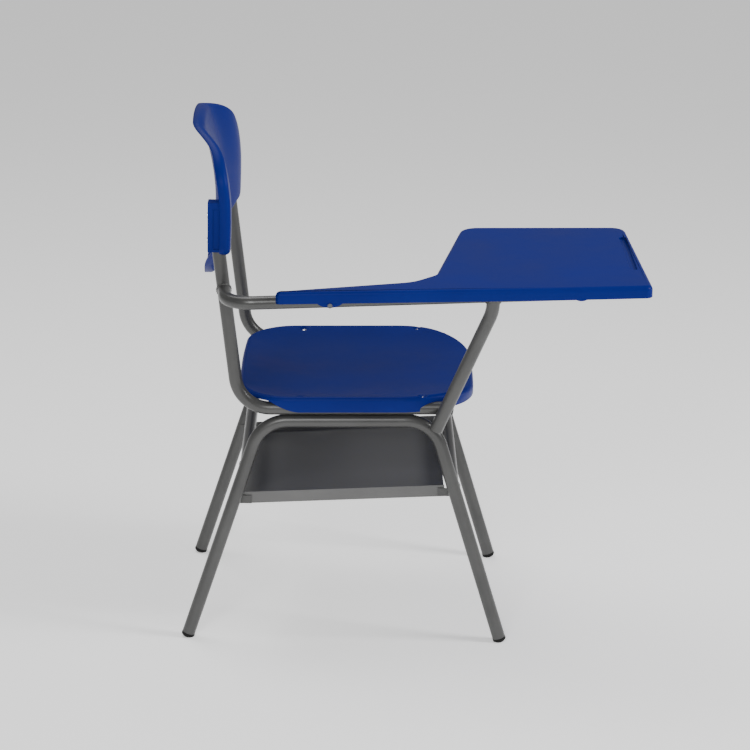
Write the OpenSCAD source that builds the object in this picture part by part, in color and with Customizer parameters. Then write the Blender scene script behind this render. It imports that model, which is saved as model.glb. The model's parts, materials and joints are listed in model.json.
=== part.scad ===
// Student desk chair: steel tube frame, moulded seat and backrest, right-hand writing tablet.
// Millimetres. +X is forward, +Y is the sitter's left, +Z is up, and the feet stand on z = 0.

/* [Tubes] */
// Outer diameter of the frame, back and arm tubes
tube_d = 22.2; // [19:0.1:26]
// Wall of the steel tubes
tube_wall = 1.5; // [1:0.1:2]
// Outer diameter of the two crossbars
cross_d = 20; // [16:0.5:22]
// Centreline radius of the leg frame bends
leg_bend_r = 62; // [45:1:75]
// Centreline radius of the bend from the seat rail into the back
back_bend_r = 58; // [45:1:70]

/* [Frame] */
// Distance between the centrelines of the two leg frames
frame_w = 398; // [360:1:430]
// Distance on the floor between the front and the rear leg centrelines
foot_pitch = 535; // [500:1:560]
// Angle of each leg from the vertical
leg_lean = 17.55; // [14:0.05:20]
// Height of the leg frame's top bar centreline, midway along
bar_z = 393; // [370:1:420]
// Upward tilt of the top bar, the seat and the tablet towards the front
seat_tilt = 1.1; // [0:0.1:4]
// Height of the rear crossbar
rear_cross_z = 310; // [290:1:340]
// Height of the front crossbar
front_cross_z = 278; // [273:1:300]

/* [Back] */
// Backward lean of the back tubes
back_lean = 7.4; // [4:0.1:12]
// Backward lean of their upper ends, inside the sockets
socket_lean = 2.3; // [0:0.1:4]
// Height at which the back tubes straighten up
socket_bend_z = 675; // [667:1:681]
// Height of the top ends of the back tubes
back_top_z = 754; // [740:1:759]
// Width of the backrest
back_w = 432; // [432:1:440]
// Height of the middle of the backrest's top edge
back_crown_z = 873; // [860:1:885]
// Height at which the rounded top corners run into the straight sides
back_side_z = 787; // [770:1:800]
// Height of the middle of the backrest's bottom edge
back_drop_z = 599; // [590:1:610]
// Height of the backrest's bottom edge at its two sides
back_hip_z = 676; // [670:1:690]
// Depth of the rim around the backrest
back_rim = 18; // [16:1:22]
// How far the middle of the backrest lies behind its sides
back_sag = 28; // [20:1:34]

/* [Seat] */
// Front to back length of the seat
seat_l = 400; // [390:1:410]
// Width of the seat
seat_w = 430; // [424:1:436]
// Height of the seat's rim above the floor, midway along
seat_z = 438; // [435:1:443]
// Depth of the dish in the seat
seat_dish = 11; // [8:1:12]
// Height of the skirt around the seat
seat_skirt = 26; // [22:1:30]
// Drop of the front edge below the rim
seat_fall = 13; // [8:1:16]

/* [Tablet] */
// Forward edge of the tablet, measured from the middle of the leg frames
tablet_front = 491; // [470:1:500]
// Rear tip of the tablet's arm
tablet_tail = -118; // [-130:1:-100]
// Height of the tablet's top face above the middle of the leg frames
tablet_z = 642.9; // [637:0.1:647]
// Height of the tablet's skirt
tablet_skirt = 20.5; // [18:0.5:22]
// Length of the pen groove
groove_l = 216; // [150:1:230]

/* [Book tray] */
// Width of the tray across the chair
tray_w = 372; // [340:1:374]
// Length of the tray
tray_l = 344; // [320:1:346]
// Height of the tray's side walls
tray_wall = 20; // [15:1:25]
// Thickness of the tray's sheet
tray_t = 1.5; // [1:0.1:2]
// Upward tilt of the tray towards the front
tray_tilt = 3.2; // [0:0.1:4]
// Height of the tray's floor, midway along
tray_z = 248; // [237:1:257]

/* [Hidden] */

$fn = 48;
steel = "#8b8c8c";
plastic = "#173a9c";
black = "#141416";

tube_r = tube_d / 2;
bore_r = tube_r - tube_wall;
side_y = frame_w / 2;
foot_x = foot_pitch / 2;
slope = tan(seat_tilt);
lean = tan(leg_lean);

// The box of the whole chair, whose bottom centre is the origin
foot_gap = 4.8;
foot_head = 1.5;
rear_x = -foot_x + (foot_gap - foot_head) * sin(leg_lean) - tube_r * cos(leg_lean);
front_x = tablet_front - 0.014;
right_y = -297.355;
left_y = back_w / 2;
mid_x = (rear_x + front_x) / 2;
mid_y = (right_y + left_y) / 2;

// The leg frame's corners: the leg lines meet the top bar's line
corner_rear_x = (-foot_x + lean * bar_z) / (1 - lean * slope);
corner_front_x = (foot_x - lean * bar_z) / (1 + lean * slope);
function bar_at(x) = bar_z + slope * x;
function leg_x(z, end) = end * (foot_x - lean * z);

// The seat rail lies on the top bar
rail_z = bar_z + tube_d / cos(seat_tilt);
rail_front_x = 172;
function rail_at(x) = rail_z + slope * x;
back_x0 = -198.6;
back_z0 = 547;
back_slope = tan(back_lean);
function back_x(z) = back_x0 - back_slope * (z - back_z0);
back_corner_x = (back_x0 - back_slope * (rail_z - back_z0)) / (1 + back_slope * slope);
socket_top_x = back_x(socket_bend_z) - tan(socket_lean) * (back_top_z - socket_bend_z);

// The arm tube runs under the tablet's outer edge
arm_in = 0.05;
arm_rise = tan(2.05);
arm_x0 = -142;
arm_y0 = -283;
arm_z0 = 618.8;
function arm_at(x) = [x, arm_y0 + arm_in * (x - arm_x0), arm_z0 + arm_rise * (x - arm_x0)];
arm_front_x = 396;
arm_weld_z = 617;

// The arm post stands on the outside of the leg frame's front bend
post_foot = [146.6, -side_y - tube_d - 0.1, 387];
post_kink = [231, -260, 603];
post_head = [232.6, -263.8, 631];

// Tablet plane
function tablet_at(x) = tablet_z + slope * x;
sheet = 3.5;

joint_gap = 0.1;
joint_skin = 0.03;
band = 1;

function unit(v) = v / norm(v);
function angle_between(u, v) = acos(u * v / (norm(u) * norm(v)));

// Moves its children into the frame with the given origin and first two axes
module in_frame(origin, x_axis, y_axis) {
    z_axis = cross(x_axis, y_axis);
    multmatrix([[x_axis.x, y_axis.x, z_axis.x, origin.x],
                [x_axis.y, y_axis.y, z_axis.y, origin.y],
                [x_axis.z, y_axis.z, z_axis.z, origin.z],
                [0, 0, 0, 1]])
        children();
}

// Turns the z axis of its children on to the line from p towards q
module along(p, q) {
    u = unit(q - p);
    side = unit(cross(u, abs(u.z) < 0.9 ? [0, 0, 1] : [0, 1, 0]));
    in_frame(p, side, cross(u, side)) children();
}

// A straight solid rod
module rod(p, q, r) {
    along(p, q) cylinder(h = norm(q - p), r = r);
}

// One solid bend at corner c, between points a and b, trimmed by gap at both ends
module elbow(a, c, b, bend_r, r) {
    u = unit(c - a);
    v = unit(b - c);
    turn = angle_between(u, v);
    trim = joint_gap / bend_r * 180 / PI;
    start = c - bend_r * tan(turn / 2) * u;
    inward = unit(v - (u * v) * u);
    in_frame(start + bend_r * inward, -inward, u)
        rotate([0, 0, trim])
            rotate_extrude(angle = turn - 2 * trim)
                translate([bend_r, 0]) circle(r = r);
}

function tangent(pts, radii, i) =
    i == 0 || i == len(pts) - 1 ? 0
        : radii[i - 1] * tan(angle_between(pts[i] - pts[i - 1], pts[i + 1] - pts[i]) / 2);

// A bent solid rod through the points, with a radius for each inner point.
// A hair-thin band closes each joint between a straight and a bend.
module bent_rod(pts, radii, r, beyond = 0) {
    last = len(pts) - 1;
    for (i = [0 : last - 1]) {
        u = unit(pts[i + 1] - pts[i]);
        from = pts[i] + (i == 0 ? -beyond : tangent(pts, radii, i) + joint_gap) * u;
        to = pts[i + 1] - (i == last - 1 ? -beyond : tangent(pts, radii, i + 1) + joint_gap) * u;
        rod(from, to, r);
        if (i > 0) rod(from - (band - joint_gap) / 2 * u, from + band / 2 * u, r + joint_skin);
        if (i < last - 1) rod(to - band / 2 * u, to + (band - joint_gap) / 2 * u, r + joint_skin);
    }
    for (i = [1 : last - 1]) elbow(pts[i - 1], pts[i], pts[i + 1], radii[i - 1], r);
}

// A bent steel tube, open at both ends
module bent_tube(pts, radii) {
    difference() {
        bent_rod(pts, radii, tube_r);
        bent_rod(pts, radii, bore_r, 1);
    }
}

module place() {
    translate([-mid_x, -mid_y, 0]) children();
}

// ---------- leg frames ----------
function leg_axis(end) = unit([end * lean, 0, -1]);
function leg_end(side, end) = [end * foot_x, side * side_y, 0] - foot_gap * leg_axis(end);

module leg_frame(side) {
    color(steel) place()
        bent_tube([leg_end(side, -1),
                   [corner_rear_x, side * side_y, bar_at(corner_rear_x)],
                   [corner_front_x, side * side_y, bar_at(corner_front_x)],
                   leg_end(side, 1)],
                  [leg_bend_r, leg_bend_r]);
}

module leg_frame_right() { leg_frame(-1); }
module leg_frame_left() { leg_frame(1); }

// ---------- seat and back tubes ----------
socket_bend_r = 120;
function back_path(side) = [
    [rail_front_x, side * side_y, rail_at(rail_front_x)],
    [back_corner_x, side * side_y, rail_at(back_corner_x)],
    [back_x(socket_bend_z), side * side_y, socket_bend_z],
    [socket_top_x, side * side_y, back_top_z]];

module back_tube(side) {
    color(steel) place() bent_tube(back_path(side), [back_bend_r, socket_bend_r]);
}

module back_tube_right() { back_tube(-1); }
module back_tube_left() { back_tube(1); }

// ---------- crossbars ----------
// Each end is cut to the round of the leg that it is welded to
module crossbar(z, end) {
    x = leg_x(z, end);
    difference() {
        rod([x, -side_y, z], [x, side_y, z], cross_d / 2);
        rod([x, -side_y, z], [x, side_y, z], cross_d / 2 - tube_wall);
        for (side = [-1, 1])
            translate([x, side * side_y, z])
                rotate([0, -end * leg_lean, 0])
                    cylinder(h = 80, r = tube_r, center = true);
    }
}

module rear_crossbar() { color(steel) place() crossbar(rear_cross_z, -1); }
module front_crossbar() { color(steel) place() crossbar(front_cross_z, 1); }

// ---------- arm ----------
arm_start = [back_x(arm_weld_z), -side_y, arm_weld_z];
arm_corner = arm_at(back_x(arm_weld_z) + 9);
arm_bend_r = 46;
post_bend_r = 70;
weld_gap = 0.25;

module arm_tube() {
    color(steel) place() difference() {
        bent_tube([arm_start, arm_corner, arm_at(arm_front_x)], [arm_bend_r]);
        rod([back_x(560), -side_y, 560], [back_x(670), -side_y, 670], tube_r + weld_gap);
    }
}

module arm_post() {
    color(steel) place() difference() {
        bent_tube([post_foot, post_kink, post_head], [post_bend_r]);
        rod(arm_at(150), arm_at(320), tube_r + weld_gap);
    }
}

// ---------- plugs ----------
plug_stem = 18;
module plug(p, u, head, dome) {
    along(p, p + u) {
        translate([0, 0, -plug_stem]) cylinder(h = plug_stem, r = bore_r);
        cylinder(h = head, r = tube_r);
        translate([0, 0, head]) intersection() {
            cylinder(h = dome, r = tube_r);
            dome_r = (tube_r * tube_r + dome * dome) / (2 * dome);
            translate([0, 0, dome - dome_r]) sphere(r = dome_r);
        }
    }
}

foot_dome = 5.5;
end_head = 2;
end_dome = 2;

// Four domed plugs, each with a small flat where it stands on the floor
module foot_plugs() {
    color(black) place() for (side = [-1, 1], end = [-1, 1])
        difference() {
            plug(leg_end(side, end), leg_axis(end), foot_head, foot_dome);
            translate([end * foot_x, side * side_y, -10]) cube([60, 60, 20], center = true);
        }
}

module rail_end_plugs() {
    color(black) place() for (side = [-1, 1])
        plug([rail_front_x, side * side_y, rail_at(rail_front_x)], [cos(seat_tilt), 0, sin(seat_tilt)],
             end_head, end_dome);
}

module arm_end_plug() {
    color(black) place()
        plug(arm_at(arm_front_x), unit(arm_at(arm_front_x) - arm_at(0)), end_head, end_dome);
}

// ---------- book tray ----------
module in_tray() {
    place() translate([0, 0, tray_z]) rotate([0, -tray_tilt, 0]) children();
}

tray_x0 = -178;
// A folded sheet with a wall along each side and a low lip at the rear
module book_tray() {
    color(steel) in_tray() difference() {
        translate([tray_x0, -tray_w / 2, 0]) cube([tray_l, tray_w, tray_wall]);
        translate([tray_x0 - 1, -tray_w / 2 + tray_t, tray_t])
            cube([tray_l + 2, tray_w - 2 * tray_t, tray_wall]);
    }
}

tab_l = 26;
tab_t = 2;
tab_h = 14;

// Four small plates that carry the tray's corners on the legs
module tray_tabs() {
    color(steel) place() for (side = [-1, 1], end = [-1, 1]) {
        z = tray_z + (end < 0 ? -2 : 17);
        difference() {
            translate([leg_x(z, end) - end * tab_l / 2, side * (tray_w / 2 + tab_t / 2 + 0.05), z])
                cube([tab_l + 8, tab_t, tab_h], center = true);
            translate([leg_x(z, end), side * side_y, z])
                rotate([0, -end * leg_lean, 0])
                    cylinder(h = 80, r = tube_r, center = true);
        }
    }
}

// ---------- seat ----------
seat_cx = 15;
seat_ring = 72;
seat_rings = 10;
seat_edge_r = 7;
seat_sheet = 3.5;
seat_gap = 0.2;

seat_rear_r = 84;
seat_front_r = 125;
seat_swell = 12;
heel_rise = 24;
toe_drop = 4;

// Distance from the centre to a rounded rectangle's edge in the direction of angle a
function reach(a, half_x, half_y, r) =
    let (c = max(abs(cos(a)), 1e-6), s = max(abs(sin(a)), 1e-6),
         px = half_x - r, py = half_y - r, p = c * px + s * py)
    half_x * s / c <= py ? half_x / c
        : half_y * c / s <= px ? half_y / s
        : p + sqrt(max(0, p * p - px * px - py * py + r * r));

// Front and rear edges bow outwards in the middle
function seat_bow(y, a) = seat_swell * pow(y / (seat_w / 2), 2) * (cos(a) > 0 ? -1 : 1);
// Plan point at angle a, at fraction f of the way out, pulled in by d
function seat_plan(a, f, d) =
    let (corner = cos(a) > 0 ? seat_front_r : seat_rear_r,
         r = reach(a, seat_l / 2 - d, seat_w / 2 - d, corner - d) * f,
         y = r * sin(a))
    [seat_cx + r * cos(a) + f * seat_bow(y, a) * abs(cos(a)), y];
function seat_rim(x) = seat_z + slope * x - seat_fall * pow(max(0, x - 125) / 92, 2);
function seat_top(p, f) = seat_rim(p.x) - seat_dish * (1 - pow(f, 5));
function seat_point(a, f, d, drop) =
    let (p = seat_plan(a, f, d)) [p.x, p.y, seat_top(p, f) - drop];
// The skirt's lower edge rises towards the rear corners, clear of the back tubes' bends
function skirt_point(a, d) =
    let (p = seat_plan(a, 1, d),
         low = seat_z + slope * p.x - seat_skirt
             + heel_rise * smooth((-80 - p.x) / 80) - toe_drop * smooth((p.x - 150) / 60))
    [p.x, p.y, min(seat_rim(p.x) - seat_edge_r - 1, low)];

// Rings of points from the middle of the top, over the edge, down the skirt and back underneath
function seat_loop(ring) = [for (k = [0 : seat_ring - 1]) let (a = 360 * k / seat_ring)
    ring < seat_rings ? seat_point(a, (ring + 1) / (seat_rings + 1), seat_edge_r, 0)
    : ring < seat_rings + 5 ? let (t = (ring - seat_rings) * 22.5)
        seat_point(a, 1, seat_edge_r * (1 - sin(t)), seat_edge_r * (1 - cos(t)))
    : ring == seat_rings + 5 ? skirt_point(a, 0)
    : ring == seat_rings + 6 ? skirt_point(a, seat_sheet)
    : ring == seat_rings + 7 ? seat_point(a, 1, seat_sheet, seat_edge_r)
    : ring == seat_rings + 8 ? seat_point(a, 1, seat_edge_r, seat_sheet)
    : seat_point(a, (2 * seat_rings + 9 - ring) / (seat_rings + 1), seat_edge_r, seat_sheet)];

seat_loops = 2 * seat_rings + 9;
seat_centre = [seat_cx, 0, seat_rim(seat_cx) - seat_dish];

module seat_shell() {
    points = concat([for (i = [0 : seat_loops - 1]) each seat_loop(i)],
                    [seat_centre, seat_centre - [0, 0, seat_sheet]]);
    top = seat_loops * seat_ring;
    faces = concat(
        [for (k = [0 : seat_ring - 1]) [top, (k + 1) % seat_ring, k]],
        [for (i = [0 : seat_loops - 2], k = [0 : seat_ring - 1]) let (j = (k + 1) % seat_ring)
            each [[i * seat_ring + k, i * seat_ring + j, (i + 1) * seat_ring + j],
                  [i * seat_ring + k, (i + 1) * seat_ring + j, (i + 1) * seat_ring + k]]],
        [for (k = [0 : seat_ring - 1]) let (b = (seat_loops - 1) * seat_ring)
            [top + 1, b + k, b + (k + 1) % seat_ring]]);
    color(plastic) place() difference() {
        union() {
            polyhedron(points, faces, convexity = 6);
            at_seat_rivets() translate([0, 0, -2]) cylinder(h = seat_boss_h + 2, r = seat_boss_r);
        }
        for (side = [-1, 1]) bent_rod(back_path(side), [back_bend_r, socket_bend_r], tube_r + seat_gap, 1);
        at_seat_rivets() {
            translate([0, 0, -5]) cylinder(h = 20, r = rivet_r + 0.1);
            translate([0, 0, seat_boss_floor]) cylinder(h = 20, r = rivet_head_r + 1);
        }
    }
}

rivet_r = 2.4;
rivet_head_r = 5;
rivet_cap = 1.5;
rivet_l = 12;
seat_boss_r = 9;
seat_boss_h = 6.5;
seat_boss_floor = 6;

// Places its children on top of the seat rails, where the four bosses rest
module at_seat_rivets() {
    for (side = [-1, 1], x = [-80, 123]) translate([x, side * side_y, rail_at(x) + tube_r]) children();
}

module seat_rivets() {
    color(steel) place() at_seat_rivets() {
        translate([0, 0, seat_boss_floor + rivet_cap - rivet_l]) cylinder(h = rivet_l, r = rivet_r);
        translate([0, 0, seat_boss_floor]) cylinder(h = rivet_cap, r = rivet_head_r);
    }
}

// ---------- backrest ----------
back_cols = 36;
back_rows = 22;
back_sheet = 4;
half_back = back_w / 2;

hip_r = 14;

function smooth(t) = let (u = min(1, max(0, t))) u * u * (3 - 2 * u);
// Height of the top and the bottom edge at distance y from the middle
function back_top(y) = back_side_z + (back_crown_z - back_side_z) * sqrt(1 - pow(min(1, abs(y) / half_back), 2.2));
function back_bottom(y) = back_drop_z + (back_hip_z - back_drop_z) * smooth((abs(y) - 25) / 150)
    + hip_r * (1 - sqrt(1 - pow(max(0, abs(y) - half_back + hip_r) / hip_r, 2)));
// Front face: the sides lean back towards the top and the bottom, and the middle is a trough
function back_side_x(z) = -196 - 0.0014 * pow(max(0, z - 737), 2) - 0.0003 * pow(min(0, z - 737), 2);
function back_face(y, z) = back_side_x(z) - back_sag * smooth((185 - abs(y)) / 110);

// Columns run from side to side, closely spaced near the two ends
function col_y(i, inset) = (half_back - inset) * sin(-90 + 180 * i / back_cols);
function back_grid(inset, depth) = [for (i = [0 : back_cols], j = [0 : back_rows])
    let (y = col_y(i, inset), y0 = col_y(i, 0.01),
         z0 = back_bottom(y0) + inset, z1 = back_top(y0) - inset,
         z = z0 + (z1 - z0) * (1 - cos(180 * j / back_rows)) / 2)
    [back_face(y, z) - depth, y, z]];

// A closed block between the front face pushed back by near and the same face pushed back by far
module back_block(inset, near, far) {
    rows = back_rows + 1;
    n = (back_cols + 1) * rows;
    points = concat(back_grid(inset, near), back_grid(inset, far));
    edge = concat([for (i = [0 : back_cols]) i * rows],
                  [for (j = [1 : back_rows]) back_cols * rows + j],
                  [for (i = [1 : back_cols]) (back_cols - i) * rows + back_rows],
                  [for (j = [1 : back_rows - 1]) back_rows - j]);
    faces = concat(
        [for (i = [0 : back_cols - 1], j = [0 : back_rows - 1]) let (a = i * rows + j)
            each [[a, a + 1, a + rows + 1], [a, a + rows + 1, a + rows]]],
        [for (i = [0 : back_cols - 1], j = [0 : back_rows - 1]) let (a = n + i * rows + j)
            each [[a, a + rows + 1, a + 1], [a, a + rows, a + rows + 1]]],
        [for (k = [0 : len(edge) - 1]) let (a = edge[k], b = edge[(k + 1) % len(edge)])
            each [[a, b, n + b], [a, n + b, n + a]]]);
    polyhedron(points, faces, convexity = 6);
}

module backrest_shell() {
    color(plastic) place() difference() {
        back_block(0, 0, back_rim);
        back_block(back_sheet, back_sheet, back_rim + 5);
        // Room for the two sockets behind the face
        for (side = [-1, 1])
            translate([-300, side * side_y - socket_w / 2 - 0.05, 560])
                cube([300 + socket_x0 + socket_l + 0.05, socket_w + 0.1, 0.1 + socket_top_z - 560]);
    }
}

socket_x0 = -234;
socket_l = 32;
socket_w = 25.8;
socket_top_z = 765;
socket_low_z = 682;
slot_d = 1;

// A socket that takes the tube's end, with a shallow slot down each side
module back_socket(side) {
    color(plastic) place() difference() {
        translate([socket_x0, side * side_y - socket_w / 2, socket_low_z])
            cube([socket_l, socket_w, socket_top_z - socket_low_z]);
        rod([back_x(socket_bend_z) + 0.25, side * side_y, socket_bend_z - 6],
            [socket_top_x, side * side_y, back_top_z + 0.3], tube_r + 0.05);
        for (s = [-1, 1])
            translate([socket_x0 + 9, side * side_y + s * socket_w / 2 - slot_d, socket_low_z + 5])
                cube([10, 2 * slot_d, 67]);
    }
}

module back_socket_right() { back_socket(-1); }
module back_socket_left() { back_socket(1); }

// Two rivets through each socket into the tube
module backrest_rivets() {
    color(steel) place() for (side = [-1, 1], z = [699, 741])
        translate([socket_x0 - rivet_cap, side * side_y, z]) rotate([0, 90, 0]) {
            cylinder(h = rivet_l, r = rivet_r);
            cylinder(h = rivet_cap, r = rivet_head_r);
        }
}

// ---------- tablet ----------
// Corners in plan, from the rear tip round the sitter's side to the front, with their radii
tablet_pts = [[tablet_tail, -297.5], [tablet_tail - 4, -285], [100, -228], [139.5, -184], [194, 126],
              [tablet_front - 11, 127], [tablet_front, -262], [331, -275.5]];
tablet_radii = [5, 5, 60, 40, 34, 26, 10, 300];

function left_of(u) = [-u.y, u.x];
// Corners of the outline moved inwards by d
function inset(pts, d) = [for (i = [0 : len(pts) - 1])
    let (n = len(pts), u = unit(pts[i] - pts[(i + n - 1) % n]), v = unit(pts[(i + 1) % n] - pts[i]),
         a = -left_of(u), b = -left_of(v))
    pts[i] + d * (a + b) / (1 + a * b)];
// Arc points at one corner
function arc_at(p, c, q, r, n) =
    let (u = unit(c - p), v = unit(q - c), turn = angle_between(u, v),
         start = c - r * tan(turn / 2) * u, side = unit(v - (u * v) * u), mid = start + r * side)
    [for (k = [0 : n]) let (t = turn * k / n) mid - r * cos(t) * side + r * sin(t) * u];
function rounded(pts, radii, n = 6) = [for (i = [0 : len(pts) - 1])
    each arc_at(pts[(i + len(pts) - 1) % len(pts)], pts[i], pts[(i + 1) % len(pts)], radii[i], n)];

module in_tablet() {
    place() translate([0, 0, tablet_z]) rotate([0, -seat_tilt, 0]) children();
}

// The two corners on the sitter's side are hollow, so their radii grow as the outline shrinks
module tablet_slab(d, z0, z1) {
    radii = [for (i = [0 : len(tablet_radii) - 1]) tablet_radii[i] + (i == 2 || i == 3 ? d : -d)];
    translate([0, 0, z0]) linear_extrude(height = z1 - z0)
        polygon(rounded(inset(tablet_pts, d), radii));
}

groove_x = 469.5;
groove_y = -52;
groove_w = 11;
groove_deep = 6;
groove_rim = 2.5;
edge_turn = atan((tablet_pts[7].y - tablet_pts[0].y) / (tablet_pts[7].x - tablet_pts[0].x));
function edge_y(x) = tablet_pts[0].y + (x - tablet_pts[0].x) * tan(edge_turn);
tab_x = -33;
tab_w = 41;
tab_drop = 7;
boss_x = 377;

// A half-moon tongue that hangs below the outer wall
module tongue(x, y, w, drop) {
    r = (w * w / 4 + drop * drop) / (2 * drop);
    translate([x, y + 0.05, -tablet_skirt]) rotate([90, 0, edge_turn]) translate([0, 0, 0.1 - sheet])
        linear_extrude(height = sheet - 0.1) intersection() {
            translate([0, r - drop]) circle(r = r);
            translate([-w / 2, -drop]) square([w, drop + 2]);
        }
}

module tablet_shell() {
    color(plastic) in_tablet() difference() {
        union() {
            difference() {
                tablet_slab(0, -tablet_skirt, 0);
                tablet_slab(sheet, -tablet_skirt - 1, -sheet);
            }
            translate([groove_x - groove_w / 2 - groove_rim, groove_y - groove_l / 2 - groove_rim, -groove_deep - 3])
                cube([groove_w + 2 * groove_rim, groove_l + 2 * groove_rim, groove_deep + 1]);
            tongue(tab_x, edge_y(tab_x), tab_w, tab_drop);
            tongue(boss_x, edge_y(boss_x) + 1.6, 17, 2);
        }
        translate([groove_x - groove_w / 2, groove_y - groove_l / 2, -groove_deep])
            cube([groove_w, groove_l, groove_deep + 2]);
    }
}

strap_w = 25;
strap_t = 3;
strap_l = 300;
strap_y = -268;

// Two flat bars welded on the arm tube, which carry the inboard part of the tablet
module strap(x) {
    color(steel) place() translate([x, strap_y, tablet_at(x) - sheet - strap_t - 0.3])
        rotate([0, -seat_tilt, 0]) cube([strap_w, strap_l, strap_t]);
}

module tablet_strap_rear() { strap(225); }
module tablet_strap_front() { strap(352); }

screw_head_r = 4;
screw_r = 1.9;
screw_cap = 2.2;

// Four screws up through the straps, and one in from the side through the half-moon tongue
module tablet_screws() {
    color(steel) in_tablet() {
        for (x = [238, 365], y = [-100, 10])
            translate([x, y, -sheet - strap_t - screw_cap - 0.3]) screw(7);
        translate([tab_x, edge_y(tab_x) - 1, -tablet_skirt - tab_drop / 2]) rotate([-90, 0, 0]) screw(12);
    }
}

module screw(l) {
    cylinder(h = screw_cap, r = screw_head_r);
    cylinder(h = l, r = screw_r);
}

leg_frame_right();
leg_frame_left();
back_tube_right();
back_tube_left();
rear_crossbar();
front_crossbar();
arm_tube();
arm_post();
tablet_strap_rear();
tablet_strap_front();
book_tray();
tray_tabs();
foot_plugs();
rail_end_plugs();
arm_end_plug();
seat_shell();
seat_rivets();
backrest_shell();
back_socket_right();
back_socket_left();
backrest_rivets();
tablet_shell();
tablet_screws();
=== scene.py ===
import bpy, bmesh, json
import numpy as np
from math import sin, cos, tan, radians, pi, sqrt
from mathutils import Vector, Matrix


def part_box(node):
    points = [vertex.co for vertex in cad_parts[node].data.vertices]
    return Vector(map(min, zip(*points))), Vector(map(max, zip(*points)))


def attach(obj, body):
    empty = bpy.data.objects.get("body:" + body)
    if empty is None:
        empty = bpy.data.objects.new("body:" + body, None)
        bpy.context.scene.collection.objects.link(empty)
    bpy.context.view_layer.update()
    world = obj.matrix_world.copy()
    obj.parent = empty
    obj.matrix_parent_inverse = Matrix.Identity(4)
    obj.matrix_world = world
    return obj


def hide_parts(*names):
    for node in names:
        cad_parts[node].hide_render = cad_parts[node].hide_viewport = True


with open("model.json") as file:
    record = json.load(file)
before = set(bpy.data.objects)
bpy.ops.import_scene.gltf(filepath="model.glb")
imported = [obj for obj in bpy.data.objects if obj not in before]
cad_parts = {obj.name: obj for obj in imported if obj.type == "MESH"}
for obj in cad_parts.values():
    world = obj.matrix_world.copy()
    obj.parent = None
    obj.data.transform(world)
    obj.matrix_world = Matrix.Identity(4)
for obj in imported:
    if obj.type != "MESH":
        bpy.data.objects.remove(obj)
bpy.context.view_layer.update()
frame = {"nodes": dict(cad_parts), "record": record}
nodes = frame["nodes"]

# Lengths below are in mm from the middle of the leg frames, on the floor: +X forward, +Y to the sitter's left
lo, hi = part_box("foot_plugs")
MID = (lo + hi) / 2


def P(x, y, z):
    return Vector((x / 1000 + MID.x, y / 1000 + MID.y, z / 1000))


# ---------------------------------------------------------------- shared sizes
TUBE_R, CROSS_R = 11.1, 10
SIDE_Y, FOOT_X, BAR_Z = 199, 267.5, 393
TILT_ANGLE, LEAN_ANGLE = radians(1.1), radians(17.55)
TILT, LEAN, BACK_SLOPE = tan(TILT_ANGLE), tan(LEAN_ANGLE), tan(radians(7.4))
ARM_RISE, ARM_IN = tan(radians(2.05)), 0.05
# Angles of the steps round a rolled edge
EDGE = [radians(i * 11.25) for i in range(9)]


# ---------------------------------------------------------------- camera
def add_camera():
    e, a, roll, f = radians(17.5), radians(-0.774702656), radians(1.25429001), 2681.1725
    fwd = Vector((-sin(a) * cos(e), cos(a) * cos(e), -sin(e)))
    right = Vector((cos(a), sin(a), 0))
    up = right.cross(fwd)
    r = cos(roll) * right + sin(roll) * up
    u = -sin(roll) * right + cos(roll) * up
    depth = 4587.0
    anchor = Vector((-263, -199, -3))
    c = anchor - fwd * depth - r * ((190 - 375) * depth / f) + u * ((637.4 - 375) * depth / f)
    cam = bpy.data.cameras.new("camera")
    cam.sensor_width = 36
    cam.lens = 36 * f / 750
    ob = bpy.data.objects.new("camera", cam)
    m = Matrix((r, u, -fwd)).transposed().to_4x4()
    m.translation = P(*c)
    ob.matrix_world = m
    bpy.context.scene.collection.objects.link(ob)
    bpy.context.scene.camera = ob


add_camera()


# ---------------------------------------------------------------- materials
def new_material(name):
    m = bpy.data.materials.new(name)
    m.use_nodes = True
    t = m.node_tree
    return m, t.nodes, t.links, t.nodes["Principled BSDF"]


def noise_node(n, links, coord, scale, detail=3, rough=0.5):
    x = n.new("ShaderNodeTexNoise")
    x.inputs["Scale"].default_value = scale
    x.inputs["Detail"].default_value = detail
    x.inputs["Roughness"].default_value = rough
    links.new(coord.outputs["Object"], x.inputs["Vector"])
    return x


def span(n, links, source, low, high, a=0.3, b=0.7):
    x = n.new("ShaderNodeMapRange")
    x.inputs["From Min"].default_value = a
    x.inputs["From Max"].default_value = b
    x.inputs["To Min"].default_value = low
    x.inputs["To Max"].default_value = high
    links.new(source, x.inputs["Value"])
    return x.outputs["Result"]


def tint(n, links, source, dark, light):
    x = n.new("ShaderNodeMix")
    x.data_type = "RGBA"
    x.inputs[6].default_value = (*dark, 1)
    x.inputs[7].default_value = (*light, 1)
    links.new(source, x.inputs[0])
    return x.outputs[2]


def bumps(n, links, bsdf, layers):
    last = None
    for tex, strength, distance in layers:
        b = n.new("ShaderNodeBump")
        b.inputs["Strength"].default_value = strength
        b.inputs["Distance"].default_value = distance
        links.new(tex.outputs["Fac"], b.inputs["Height"])
        if last:
            links.new(last.outputs["Normal"], b.inputs["Normal"])
        last = b
    links.new(last.outputs["Normal"], bsdf.inputs["Normal"])


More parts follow.
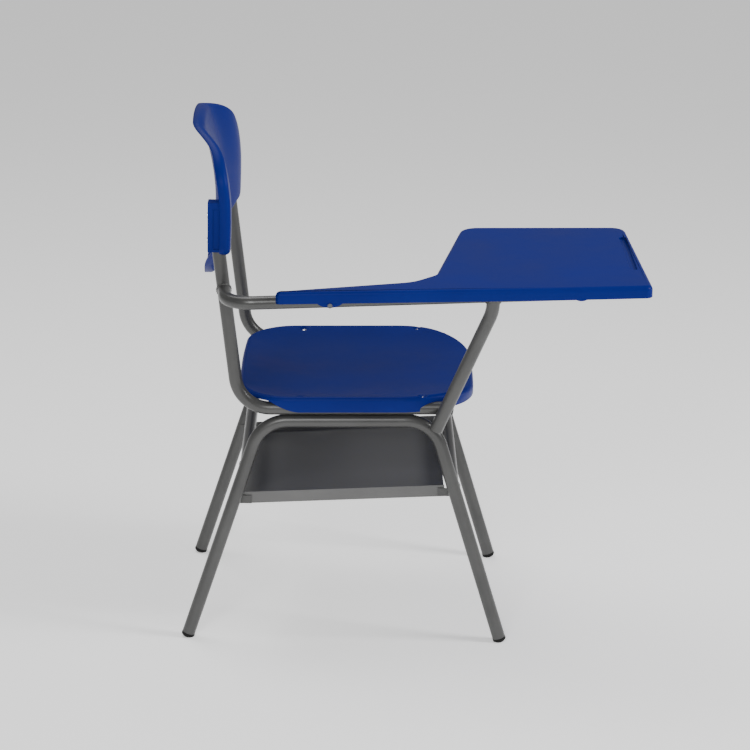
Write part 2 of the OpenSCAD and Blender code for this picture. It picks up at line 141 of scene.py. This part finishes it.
def surface(name, dark, light, metallic, rough, blotch, grain, peel=None, specular=0.5):
    m, n, links, b = new_material(name)
    coord = n.new("ShaderNodeTexCoord")
    patch = noise_node(n, links, coord, blotch, 4)
    fine = noise_node(n, links, coord, grain[0], 3)
    links.new(tint(n, links, span(n, links, patch.outputs["Fac"], 0, 1), dark, light), b.inputs["Base Color"])
    links.new(span(n, links, patch.outputs["Fac"], rough[0], rough[1]), b.inputs["Roughness"])
    b.inputs["Metallic"].default_value = metallic
    b.inputs["Specular IOR Level"].default_value = specular
    layers = [(fine, grain[1], grain[2])]
    if peel:
        layers.append((noise_node(n, links, coord, peel[0], 2), peel[1], peel[2]))
    bumps(n, links, b, layers)
    return m


PAINT = surface("grey_powder_coat", (0.070, 0.070, 0.069), (0.092, 0.092, 0.090), 0.45, (0.28, 0.38), 14,
                (1400, 0.25, 0.00012), (260, 0.12, 0.0003))
TRAY_PAINT = surface("grey_sheet_paint", (0.115, 0.115, 0.114), (0.145, 0.145, 0.143), 0.20, (0.36, 0.48), 9,
                     (1400, 0.25, 0.00012), (200, 0.12, 0.0003))
WELD = surface("weld_bead", (0.075, 0.075, 0.074), (0.120, 0.120, 0.118), 0.45, (0.30, 0.42), 400,
               (900, 0.5, 0.0004))
BLUE = surface("blue_moulded_plastic", (0.0036, 0.0110, 0.150), (0.0052, 0.0150, 0.178), 0.0, (0.34, 0.46), 7,
               (2200, 0.20, 0.00010), (420, 0.06, 0.0003), specular=0.07)
BLACK = surface("black_foot_plastic", (0.008, 0.008, 0.008), (0.014, 0.014, 0.014), 0.0, (0.40, 0.55), 60,
                (1500, 0.3, 0.00015), specular=0.12)
ZINC = surface("bright_zinc", (0.55, 0.55, 0.56), (0.70, 0.70, 0.72), 1.0, (0.16, 0.28), 300,
               (1200, 0.2, 0.00008))

DULL_ZINC = surface("dull_zinc", (0.10, 0.10, 0.11), (0.16, 0.16, 0.17), 0.8, (0.34, 0.48), 300,
                    (1200, 0.2, 0.00008))

LOOKS = {"frame_paint": PAINT, "blue_plastic": BLUE, "black_plug": BLACK, "zinc_steel": ZINC}
for part in frame["record"]["subparts"]:
    look = LOOKS[part["material_slot"]]
    mesh = nodes[part["node"]].data
    mesh.materials.clear()
    mesh.materials.append({"tablet_screws": DULL_ZINC, "book_tray": TRAY_PAINT}.get(part["node"], look))


# ---------------------------------------------------------------- mesh helpers
def piece(name, verts, faces, mat, *replaced, weighted=False, bevel=0.0):
    me = bpy.data.meshes.new(name)
    me.from_pydata([tuple(v) for v in verts], [], faces)
    me.validate()
    me.materials.append(mat)
    me.polygons.foreach_set("use_smooth", [True] * len(me.polygons))
    ob = bpy.data.objects.new(name, me)
    bpy.context.scene.collection.objects.link(ob)
    if bevel:
        b = ob.modifiers.new("bevel", "BEVEL")
        b.width = bevel
        b.segments = 3
        b.limit_method = "ANGLE"
        b.angle_limit = radians(40)
    if weighted or bevel:
        w = ob.modifiers.new("normals", "WEIGHTED_NORMAL")
        w.keep_sharp = True
    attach(ob, "root")
    if replaced:
        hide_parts(*replaced)
    return ob


def loft(loops, first=None, last=None):
    """Vertices and faces of closed loops joined in order. The points first and last close the two ends."""
    n = len(loops[0])
    verts = [p for ring in loops for p in ring]
    faces = [(i * n + k, i * n + (k + 1) % n, (i + 1) * n + (k + 1) % n, (i + 1) * n + k)
             for i in range(len(loops) - 1) for k in range(n)]
    if first is not None:
        verts.append(first)
        faces += [(len(verts) - 1, (k + 1) % n, k) for k in range(n)]
    if last is not None:
        verts.append(last)
        base = (len(loops) - 1) * n
        faces += [(len(verts) - 1, base + k, base + (k + 1) % n) for k in range(n)]
    return verts, faces


def smooth_step(t):
    t = min(1, max(0, t))
    return t * t * (3 - 2 * t)


# ---------------------------------------------------------------- seat
RAIL_TOP = BAR_Z + 2 * TUBE_R + TUBE_R
SEAT_L, SEAT_W, SEAT_X, SEAT_Z = 400, 430, 15, 438
SEAT_FRONT_R, SEAT_REAR_R, SEAT_SWELL, SEAT_FALL, SEAT_DISH, SEAT_SKIRT = 125, 84, 12, 13, 11, 26
RIVETS = [(x, s * SIDE_Y) for s in (-1, 1) for x in (-80, 123)]
RIVET_SEAT = 6.0


def reach(a, hx, hy, r):
    c, s = max(abs(cos(a)), 1e-6), max(abs(sin(a)), 1e-6)
    px, py = hx - r, hy - r
    p = c * px + s * py
    if hx * s / c <= py:
        return hx / c
    if hy * c / s <= px:
        return hy / s
    return p + sqrt(max(0, p * p - px * px - py * py + r * r))


def seat_plan(a, f, d):
    corner = SEAT_FRONT_R if cos(a) > 0 else SEAT_REAR_R
    r = reach(a, SEAT_L / 2 - d, SEAT_W / 2 - d, corner - d) * f
    y = r * sin(a)
    bow = SEAT_SWELL * (y / (SEAT_W / 2)) ** 2 * (-1 if cos(a) > 0 else 1)
    return SEAT_X + r * cos(a) + f * bow * abs(cos(a)), y


def seat_rim(x):
    return SEAT_Z + TILT * x - SEAT_FALL * (max(0, x - 125) / 92) ** 2


def seat_top(x, y, f):
    z = seat_rim(x) - SEAT_DISH * (1 - f ** 5)
    for rx, ry in RIVETS:
        d = sqrt((x - rx) ** 2 + (y - ry) ** 2)
        pit = max(0, z - (RAIL_TOP + TILT * rx + RIVET_SEAT))
        z -= pit * (1 - smooth_step((d - 5.6) / 1.8))
    return z


def seat_piece():
    n, rings, roll, sheet = 480, 46, 7, 3.5
    angles = [2 * pi * k / n for k in range(n)]

    def ring(f, d, drop):
        out = []
        for a in angles:
            x, y = seat_plan(a, f, d)
            out.append(P(x, y, seat_top(x, y, f) - drop))
        return out

    def skirt(d, lift=0):
        out = []
        for a in angles:
            x, y = seat_plan(a, 1, d)
            low = SEAT_Z + TILT * x - SEAT_SKIRT + 24 * smooth_step((-80 - x) / 80) - 4 * smooth_step((x - 150) / 60)
            out.append(P(x, y, min(seat_rim(x) - 8, low) + lift))
        return out

    fs = [1 - (1 - (i + 1) / (rings + 1)) ** 1.6 for i in range(rings)]
    loops = [ring(f, roll, 0) for f in fs]
    loops += [ring(1, roll * (1 - sin(t)), roll * (1 - cos(t))) for t in EDGE]
    loops += [skirt(0, 0.8), skirt(0.8), skirt(sheet - 0.8), skirt(sheet, 0.8)]
    loops += [ring(1, sheet, roll), ring(1, roll, sheet)]
    loops += [ring(f, roll, sheet) for f in reversed(fs[::2])]
    z = seat_rim(SEAT_X) - SEAT_DISH
    v, f = loft(loops, P(SEAT_X, 0, z), P(SEAT_X, 0, z - sheet))
    return piece("seat", v, f, BLUE, "seat_shell")


seat_piece()


# ---------------------------------------------------------------- backrest
HALF, CROWN, SIDE_Z, DROP_Z, HIP_Z, HIP_R = 216, 873, 787, 599, 676, 14
BACK_MID_Z = 742


def back_top(y):
    return SIDE_Z + (CROWN - SIDE_Z) * sqrt(max(0, 1 - min(1, abs(y) / HALF) ** 2.2))


def back_bottom(y):
    t = max(0, abs(y) - HALF + HIP_R) / HIP_R
    hip = HIP_R * (1 - sqrt(max(0, 1 - t * t)))
    return DROP_Z + (HIP_Z - DROP_Z) * smooth_step((abs(y) - 25) / 150) + hip


def back_face(y, z):
    side = -196 - 0.0014 * max(0, z - 737) ** 2 - 0.0003 * min(0, z - 737) ** 2
    return side - 28 * smooth_step((185 - abs(y)) / 110)


def resample(pts, n):
    """n points, evenly spaced along a closed polyline."""
    p = np.array(pts + pts[:1], float)
    d = np.concatenate([[0], np.cumsum(np.linalg.norm(np.diff(p, axis=0), axis=1))])
    s = np.linspace(0, d[-1], n, endpoint=False)
    return np.stack([np.interp(s, d, p[:, i]) for i in range(2)], 1)


def inwards(pts):
    """Inward unit normals of a closed anticlockwise polyline."""
    t = np.roll(pts, -1, 0) - np.roll(pts, 1, 0)
    t /= np.linalg.norm(t, axis=1)[:, None]
    return np.stack([-t[:, 1], t[:, 0]], 1)


def back_outline(n):
    ys = [HALF * sin(radians(90 - k * 1.5)) for k in range(121)]
    top = [(y, back_top(y)) for y in ys]
    bottom = [(y, back_bottom(y)) for y in reversed(ys)]
    return resample(top + bottom[1:-1], n)


def backrest_piece():
    n, roll, rim, sheet = 240, 8, 18, 3.6
    out = back_outline(n)
    nrm = inwards(out)
    centre = np.array([0, BACK_MID_Z], float)

    def ring(inset, depth, f=1.0):
        q = centre + (out + nrm * inset - centre) * f
        return [P(back_face(y, z) - depth, y, z) for y, z in q]

    fs = [(i + 1) / 31 for i in range(30)]
    loops = [ring(roll, 0, f) for f in fs]
    loops += [ring(roll * (1 - sin(t)), roll * (1 - cos(t))) for t in EDGE]
    loops += [ring(0, rim - 0.9), ring(0.9, rim), ring(sheet - 0.9, rim), ring(sheet, rim - 0.9)]
    loops += [ring(sheet, roll)]
    loops += [ring(roll, sheet)] + [ring(roll, sheet, f) for f in reversed(fs[::2])]
    x = back_face(0, BACK_MID_Z)
    v, f = loft(loops, P(x, 0, BACK_MID_Z), P(x - sheet, 0, BACK_MID_Z))
    return piece("backrest", v, f, BLUE, "backrest_shell")


backrest_piece()


# ---------------------------------------------------------------- blocks with recesses
def cells(name, xs, ys, zs, empty, mat, *replaced, bevel=0.0012, place=P):
    """The closed skin of a grid of box cells, without the cells for which empty(i, j, k) is true."""
    full = {(i, j, k) for i in range(len(xs) - 1) for j in range(len(ys) - 1) for k in range(len(zs) - 1)
            if not empty(i, j, k)}
    index, verts, faces = {}, [], []

    def at(i, j, k):
        if (i, j, k) not in index:
            index[i, j, k] = len(verts)
            verts.append(place(xs[i], ys[j], zs[k]))
        return index[i, j, k]

    sides = {(1, 0, 0): [(1, 0, 0), (1, 1, 0), (1, 1, 1), (1, 0, 1)],
             (-1, 0, 0): [(0, 0, 0), (0, 0, 1), (0, 1, 1), (0, 1, 0)],
             (0, 1, 0): [(0, 1, 0), (0, 1, 1), (1, 1, 1), (1, 1, 0)],
             (0, -1, 0): [(0, 0, 0), (1, 0, 0), (1, 0, 1), (0, 0, 1)],
             (0, 0, 1): [(0, 0, 1), (1, 0, 1), (1, 1, 1), (0, 1, 1)],
             (0, 0, -1): [(0, 0, 0), (0, 1, 0), (1, 1, 0), (1, 0, 0)]}
    for c in sorted(full):
        for d, corners in sides.items():
            if tuple(np.add(c, d)) not in full:
                faces.append([at(c[0] + a, c[1] + b, c[2] + e) for a, b, e in corners])
    return piece(name, verts, faces, mat, *replaced, bevel=bevel)


def socket_piece(node):
    lo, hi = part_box(node)
    xs = [lo.x, lo.x + 0.009, lo.x + 0.019, hi.x]
    ys = [lo.y, lo.y + 0.0014, hi.y - 0.0014, hi.y]
    zs = [lo.z, lo.z + 0.005, lo.z + 0.072, hi.z]
    cells(node + "_moulding", xs, ys, zs, lambda i, j, k: i == 1 and j != 1 and k == 1, BLUE, node,
          bevel=0.0016, place=lambda x, y, z: Vector((x, y, z)))


for socket in ("back_socket_right", "back_socket_left"):
    socket_piece(socket)


# ---------------------------------------------------------------- tablet
TAB = [((-118, -297.3), 8.5), ((-123, -287), 8.5), ((100, -229), 60), ((140, -184), 40), ((194, 126), 34),
       ((480, 127), 26), ((491, -262), 12), ((331, -275.5), 300)]
TAB_Z, SKIRT = 642.9, 20.5
GROOVE = (469.5, -52, 11, 216, 6)
HOLLOW = (2, 3)


def tablet_place(x, y, z):
    t = TILT_ANGLE
    return P(x * cos(t) - z * sin(t), y, TAB_Z + x * sin(t) + z * cos(t))


def arc(p, c, q, r, n):
    p, c, q = map(np.array, (p, c, q))
    u, v = (c - p) / np.linalg.norm(c - p), (q - c) / np.linalg.norm(q - c)
    turn = np.arccos(np.clip(u @ v, -1, 1))
    side = v - (u @ v) * u
    side /= np.linalg.norm(side)
    mid = c - r * tan(turn / 2) * u + r * side
    return [tuple(mid - r * cos(t) * side + r * sin(t) * u) for t in np.linspace(0, turn, n)]


def tablet_outline(d, n=10):
    """The plan outline, anticlockwise, moved inwards by d."""
    c = [np.array(p[0], float) for p in TAB]
    m = len(c)
    moved = []
    for i in range(m):
        u = c[i] - c[i - 1]
        v = c[(i + 1) % m] - c[i]
        a, b = np.array([u[1], -u[0]]) / np.linalg.norm(u), np.array([v[1], -v[0]]) / np.linalg.norm(v)
        moved.append(c[i] + d * (a + b) / (1 + a @ b))
    pts = []
    for i in range(m):
        r = TAB[i][1] + (d if i in HOLLOW else -d)
        pts += arc(moved[i - 1], moved[i], moved[(i + 1) % m], r, n)
    return pts[::-1]


def stadium(x, y, w, l, n=9):
    out = []
    for s, a0 in ((1, 0), (-1, pi)):
        for k in range(n + 1):
            a = a0 + pi * k / n
            out.append((x + w / 2 * cos(a), y + s * (l - w) / 2 + w / 2 * sin(a)))
    return out


def tablet_piece():
    roll, sheet = 8, 3.4
    outer = [[tablet_place(x, y, -roll * (1 - cos(t))) for x, y in tablet_outline(roll * (1 - sin(t)))]
             for t in EDGE]
    outer += [[tablet_place(x, y, z) for x, y in tablet_outline(d)] for d, z in
              ((0, -SKIRT + 0.8), (0.8, -SKIRT), (sheet - 0.8, -SKIRT), (sheet, -SKIRT + 0.8),
               (sheet, -roll), (roll, -sheet))]
    verts, faces = loft(outer)
    n = len(outer[0])
    gx, gy, gw, gl, gd = GROOVE
    # The pen groove: a soft lip, a wall and a floor
    lips = [stadium(gx, gy, gw + 2 - 2 * a, gl + 2 - 2 * a) for a in (0, 0.7, 1)]
    g = [[tablet_place(x, y, z) for x, y in lip] for lip, z in zip(lips, (0, -0.3, -1))]
    g += [[tablet_place(x, y, z) for x, y in stadium(gx, gy, gw - d, gl - d)]
          for d, z in ((0, -gd + 1.5), (0.8, -gd + 0.4), (3, -gd))]
    base = len(verts)
    gv, gf = loft(g)
    verts += gv
    faces += [tuple(base + i for i in f) for f in gf]
    m = len(g[0])
    faces.append(tuple(base + (len(g) - 1) * m + k for k in range(m)))
    me = bpy.data.meshes.new("t")
    me.from_pydata([tuple(v) for v in verts], [], faces)
    bm = bmesh.new()
    bm.from_mesh(me)
    bm.verts.ensure_lookup_table()

    def rim(start, count):
        return [bm.edges.get((bm.verts[start + k], bm.verts[start + (k + 1) % count])) for k in range(count)]

    # The flat top, round the groove, and the flat underside
    bmesh.ops.triangle_fill(bm, use_beauty=True, edges=rim(0, n) + rim(base, m))
    bmesh.ops.triangle_fill(bm, use_beauty=True, edges=rim((len(outer) - 1) * n, n))
    bmesh.ops.recalc_face_normals(bm, faces=bm.faces)
    bm.to_mesh(me)
    v = [tuple(x.co) for x in me.vertices]
    f = [tuple(p.vertices) for p in me.polygons]
    bm.free()
    return piece("tablet", v, f, BLUE, "tablet_shell", weighted=True)


tablet_piece()


# The half-moon tongue and the small boss under the tablet's near edge
def tongue(name, x, y, w, drop, thick=3.4):
    r = (w * w / 4 + drop * drop) / (2 * drop)
    half = np.arcsin(w / 2 / r)
    pts = [(r * sin(t), r - drop - r * cos(t)) for t in np.linspace(-half, half, 25)]
    pts += [(w / 2, 3), (-w / 2, 3)]
    turn = radians(2.8)
    loops = []
    for depth, grow in ((0.15, 0.6), (0.75, 0), (thick - 0.6, 0), (thick, 0.6)):
        ring = []
        for a, b in pts:
            k = 1 - grow / r
            ring.append(tablet_place(x + a * k * cos(turn) - depth * sin(turn),
                                     y + a * k * sin(turn) + depth * cos(turn),
                                     -SKIRT + b + (grow if b < 2 else 0)))
        loops.append(ring)
    mid0 = sum(loops[0], Vector()) / len(pts)
    mid1 = sum(loops[-1], Vector()) / len(pts)
    v, f = loft(loops, mid0, mid1)
    return piece(name, v, f, BLUE, weighted=True)


def near_edge(x):
    return -297.3 + (x + 118) * (297.3 - 275.5) / (331 + 118)


tongue("tongue", -33, near_edge(-33), 41, 7)
tongue("edge_boss", 374, near_edge(374) + 1.3, 17, 2)


# ---------------------------------------------------------------- rivets
# A blind rivet's half section: dimple, domed head, shank and clinched end
RIVET = [(1.0, 0.35), (1.5, 0.45), (1.6, 1.25), (2.1, 1.5), (3.2, 1.38), (4.2, 0.95), (4.85, 0.4),
         (5.0, 0.05), (4.9, 0.0), (2.4, 0.0), (2.4, -9.6), (2.3, -10.4)]


def rivet_piece():
    verts, faces, n = [], [], 40
    for x, y in RIVETS:
        z = RAIL_TOP + TILT * x + RIVET_SEAT
        loops = [[P(x + r * cos(2 * pi * k / n), y + r * sin(2 * pi * k / n), z + h) for k in range(n)]
                 for r, h in RIVET]
        v, f = loft(loops, P(x, y, z + RIVET[0][1]), P(x, y, z + RIVET[-1][1]))
        faces += [tuple(i + len(verts) for i in q) for q in f]
        verts += v
    return piece("seat_rivet_heads", verts, faces, ZINC, "seat_rivets", weighted=True)


rivet_piece()


# ---------------------------------------------------------------- weld beads
def weld(name, at, axis, branch, r_main, r_branch, bead=1.9):
    """A rippled bead where a branch tube, starting at a point on a main tube's axis, comes out of it."""
    at, axis, branch = Vector(at), Vector(axis).normalized(), Vector(branch).normalized()
    w = axis.cross(branch).normalized()
    u = branch.cross(w)
    n, m = 96, 10
    flat = branch - axis * branch.dot(axis)
    line, out = [], []
    for k in range(n):
        t = 2 * pi * k / n
        away = cos(t) * u + sin(t) * w
        q = r_branch * away
        q_flat = q - axis * q.dot(axis)
        a, b, c = flat.dot(flat), q_flat.dot(flat), q_flat.dot(q_flat) - r_main ** 2
        line.append(q + branch * ((-b + sqrt(max(0, b * b - a * c))) / a))
        out.append(away)
    verts = []
    for k in range(n):
        side = (line[(k + 1) % n] - line[k - 1]).normalized().cross(out[k]).normalized()
        r = bead * (1 + 0.16 * sin(2 * pi * 24 * k / n))
        for j in range(m):
            a = 2 * pi * j / m
            verts.append(P(*(at + line[k] + r * (cos(a) * out[k] + sin(a) * side))))
    faces = [(k * m + j, k * m + (j + 1) % m, ((k + 1) % n) * m + (j + 1) % m, ((k + 1) % n) * m + j)
             for k in range(n) for j in range(m)]
    return piece(name, verts, faces, WELD)


def back_x(z):
    return -198.6 - BACK_SLOPE * (z - 547)


def arm_at(x):
    return Vector((x, -283 + ARM_IN * (x + 142), 618.8 + ARM_RISE * (x + 142)))


weld_at = Vector((back_x(617), -SIDE_Y, 617))
weld("weld_arm_back", weld_at, (-BACK_SLOPE, 0, 1), arm_at(weld_at.x + 9) - weld_at, TUBE_R, TUBE_R * 0.995)
weld("weld_arm_post", arm_at(232.6), (1, ARM_IN, ARM_RISE), (-1.6, 3.8, -28), TUBE_R, TUBE_R * 0.995)
for end, z, label in ((-1, 310, "rear"), (1, 278, "front")):
    for side, hand in ((-1, "right"), (1, "left")):
        weld("weld_" + label + "_" + hand, (end * (FOOT_X - LEAN * z), side * SIDE_Y, z), (-end * LEAN, 0, 1),
             (0, -side, 0), TUBE_R, CROSS_R)


# ---------------------------------------------------------------- feet
FOOT_GAP, FOOT_HEAD, FOOT_DOME, FOOT_LIP = 4.8, 1.5, 5.5, 3.2


def foot_piece():
    """Four plugs whose lips lap a little way up the ends of the legs."""
    verts, faces, n = [], [], 48
    dome_r = (TUBE_R ** 2 + FOOT_DOME ** 2) / (2 * FOOT_DOME)
    outer = TUBE_R + 0.2
    half = [(TUBE_R - 1.6, -16), (TUBE_R - 1.6, -0.2), (TUBE_R + 0.02, -FOOT_LIP), (outer, -FOOT_LIP + 0.3),
            (outer, 0), (outer, FOOT_HEAD * 0.7)]
    half += [(r, FOOT_HEAD + FOOT_DOME - dome_r + sqrt(dome_r ** 2 - r ** 2))
             for r in (11.0, 9.5, 7.5, 5, 2.5)]
    for end in (-1, 1):
        axis = Vector((end * sin(LEAN_ANGLE), 0, -cos(LEAN_ANGLE)))
        u, w = Vector((axis.z, 0, -axis.x)), Vector((0, 1, 0))
        for side in (-1, 1):
            o = Vector((end * FOOT_X, side * SIDE_Y, 0)) - FOOT_GAP * axis

            def at(r, h, t):
                p = o + axis * h + r * (cos(t) * u + sin(t) * w)
                return P(p.x, p.y, max(0, p.z))

            loops = [[at(r, h, 2 * pi * k / n) for k in range(n)] for r, h in half]
            v, f = loft(loops, at(0, half[0][1], 0), at(0, FOOT_HEAD + FOOT_DOME, 0))
            faces += [tuple(i + len(verts) for i in q) for q in f]
            verts += v
    return piece("feet", verts, faces, BLACK, "foot_plugs", weighted=True)


foot_piece()


# ---------------------------------------------------------------- floor and light
def add_floor():
    me = bpy.data.meshes.new("floor")
    s = 12
    me.from_pydata([(-s, -s, 0), (s, -s, 0), (s, s, 0), (-s, s, 0)], [], [(0, 1, 2, 3)])
    m, n, links, b = new_material("pale_floor")
    b.inputs["Base Color"].default_value = (0.93, 0.93, 0.93, 1)
    b.inputs["Roughness"].default_value = 0.9
    b.inputs["Specular IOR Level"].default_value = 0.0
    b.inputs["Emission Color"].default_value = (1, 1, 1, 1)
    b.inputs["Emission Strength"].default_value = 0.5
    me.materials.append(m)
    ob = bpy.data.objects.new("floor", me)
    bpy.context.scene.collection.objects.link(ob)


def add_light(name, at, target, size, power, size_y=None):
    l = bpy.data.lights.new(name, "AREA")
    l.shape = "RECTANGLE"
    l.size = size
    l.size_y = size_y or size
    l.energy = power
    ob = bpy.data.objects.new(name, l)
    at = Vector(at)
    ob.location = at
    ob.rotation_euler = (Vector(target) - at).to_track_quat("-Z", "Y").to_euler()
    bpy.context.scene.collection.objects.link(ob)


def add_world(strength):
    w = bpy.data.worlds.new("studio")
    w.use_nodes = True
    bg = w.node_tree.nodes["Background"]
    bg.inputs["Color"].default_value = (1, 1, 1, 1)
    bg.inputs["Strength"].default_value = strength
    bpy.context.scene.world = w


add_floor()
add_world(0.30)
add_light("key", (2.5, -0.6, 2.0), (0, 0, 0.28), 0.8, 62)
add_light("top", (-0.8, 0.9, 2.9), (0, 0, 0.4), 1.6, 36)
add_light("fill", (-0.7, -2.9, 2.1), (0, 0, 0.45), 1.1, 42)
